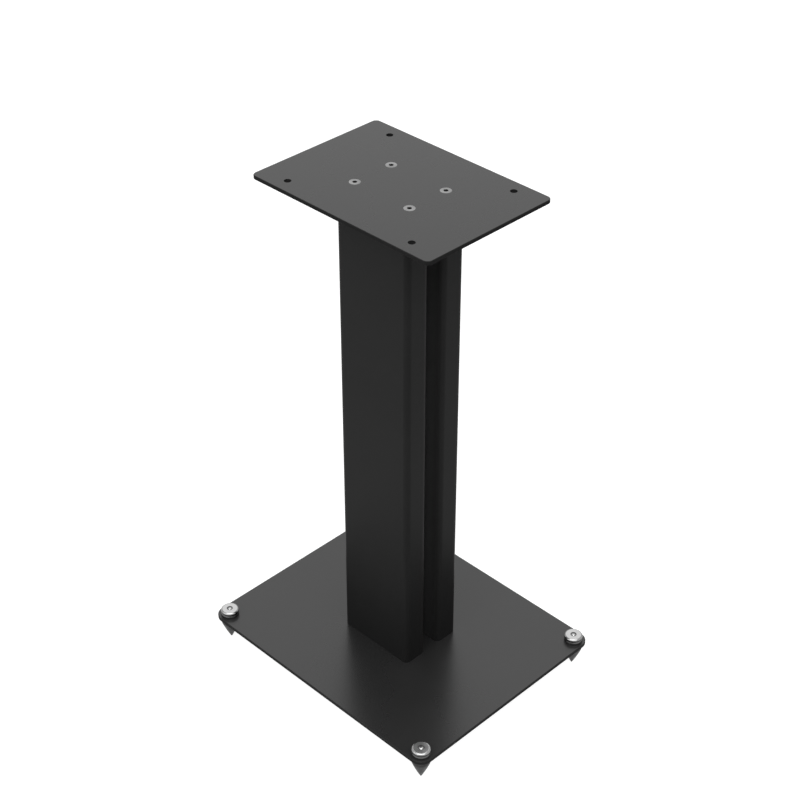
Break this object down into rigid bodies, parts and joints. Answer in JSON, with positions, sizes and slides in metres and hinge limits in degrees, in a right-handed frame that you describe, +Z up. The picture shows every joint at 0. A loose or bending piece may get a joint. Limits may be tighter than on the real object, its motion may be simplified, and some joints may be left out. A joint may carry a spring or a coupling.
{
  "type": "speaker stand",
  "caption": "Twin-column loudspeaker stand with a drilled top plate, a wide base plate and screw-adjusted spiked feet under bright caps.",
  "frame": {"origin": "on the floor under the middle of the stand, level with the spike tips", "axes": "+Z up, X across the width with the left column at -X, the front faces -Y"},
  "size_m": [0.277, 0.34, 0.6078],
  "materials": {
    "plate_coat": "satin black powder coat",
    "column_coat": "satin black powder coat",
    "block_steel": "plain machined steel",
    "screw_steel": "bright zinc plate",
    "washer": "black nylon",
    "spike_steel": "blackened turned steel",
    "cap_chrome": "bright chrome plate"
  },
  "bodies": {
    "stand": {"top_plate": "plate_coat", "base_plate": "plate_coat", "left_column": "column_coat", "right_column": "column_coat", "left_top_block": "block_steel", "right_top_block": "block_steel", "left_bottom_block": "block_steel", "right_bottom_block": "block_steel", "top_screws": "screw_steel", "base_screws": "screw_steel"},
    "front_left_washer": {"front_left_washer": "washer"},
    "front_left_foot": {"front_left_spike": "spike_steel", "front_left_cap": "cap_chrome"},
    "front_right_washer": {"front_right_washer": "washer"},
    "front_right_foot": {"front_right_spike": "spike_steel", "front_right_cap": "cap_chrome"},
    "rear_left_washer": {"rear_left_washer": "washer"},
    "rear_left_foot": {"rear_left_spike": "spike_steel", "rear_left_cap": "cap_chrome"},
    "rear_right_washer": {"rear_right_washer": "washer"},
    "rear_right_foot": {"rear_right_spike": "spike_steel", "rear_right_cap": "cap_chrome"}
  },
  "joints": [
    {"name": "front_left_lift", "type": "slide", "parent": "stand", "child": "front_left_washer", "axis": [0, 0, 1], "range_m": [0, 0.0025]},
    {"name": "front_left_turn", "type": "hinge", "parent": "front_left_washer", "child": "front_left_foot", "pos_m": [-0.1245, -0.156, 0.0365], "axis": [0, 0, 1], "range_deg": [0, 720]},
    {"name": "front_right_lift", "type": "slide", "parent": "stand", "child": "front_right_washer", "axis": [0, 0, 1], "range_m": [0, 0.0025]},
    {"name": "front_right_turn", "type": "hinge", "parent": "front_right_washer", "child": "front_right_foot", "pos_m": [0.1245, -0.156, 0.0365], "axis": [0, 0, 1], "range_deg": [0, 720]},
    {"name": "rear_left_lift", "type": "slide", "parent": "stand", "child": "rear_left_washer", "axis": [0, 0, 1], "range_m": [0, 0.0025]},
    {"name": "rear_left_turn", "type": "hinge", "parent": "rear_left_washer", "child": "rear_left_foot", "pos_m": [-0.1245, 0.156, 0.0365], "axis": [0, 0, 1], "range_deg": [0, 720]},
    {"name": "rear_right_lift", "type": "slide", "parent": "stand", "child": "rear_right_washer", "axis": [0, 0, 1], "range_m": [0, 0.0025]},
    {"name": "rear_right_turn", "type": "hinge", "parent": "rear_right_washer", "child": "rear_right_foot", "pos_m": [0.1245, 0.156, 0.0365], "axis": [0, 0, 1], "range_deg": [0, 720]}
  ],
  "couplings": [
    {"joint": "front_left_turn", "follows": "front_left_lift", "rad_per_m": 5026.5},
    {"joint": "front_right_turn", "follows": "front_right_lift", "rad_per_m": 5026.5},
    {"joint": "rear_left_turn", "follows": "rear_left_lift", "rad_per_m": 5026.5},
    {"joint": "rear_right_turn", "follows": "rear_right_lift", "rad_per_m": 5026.5}
  ]
}
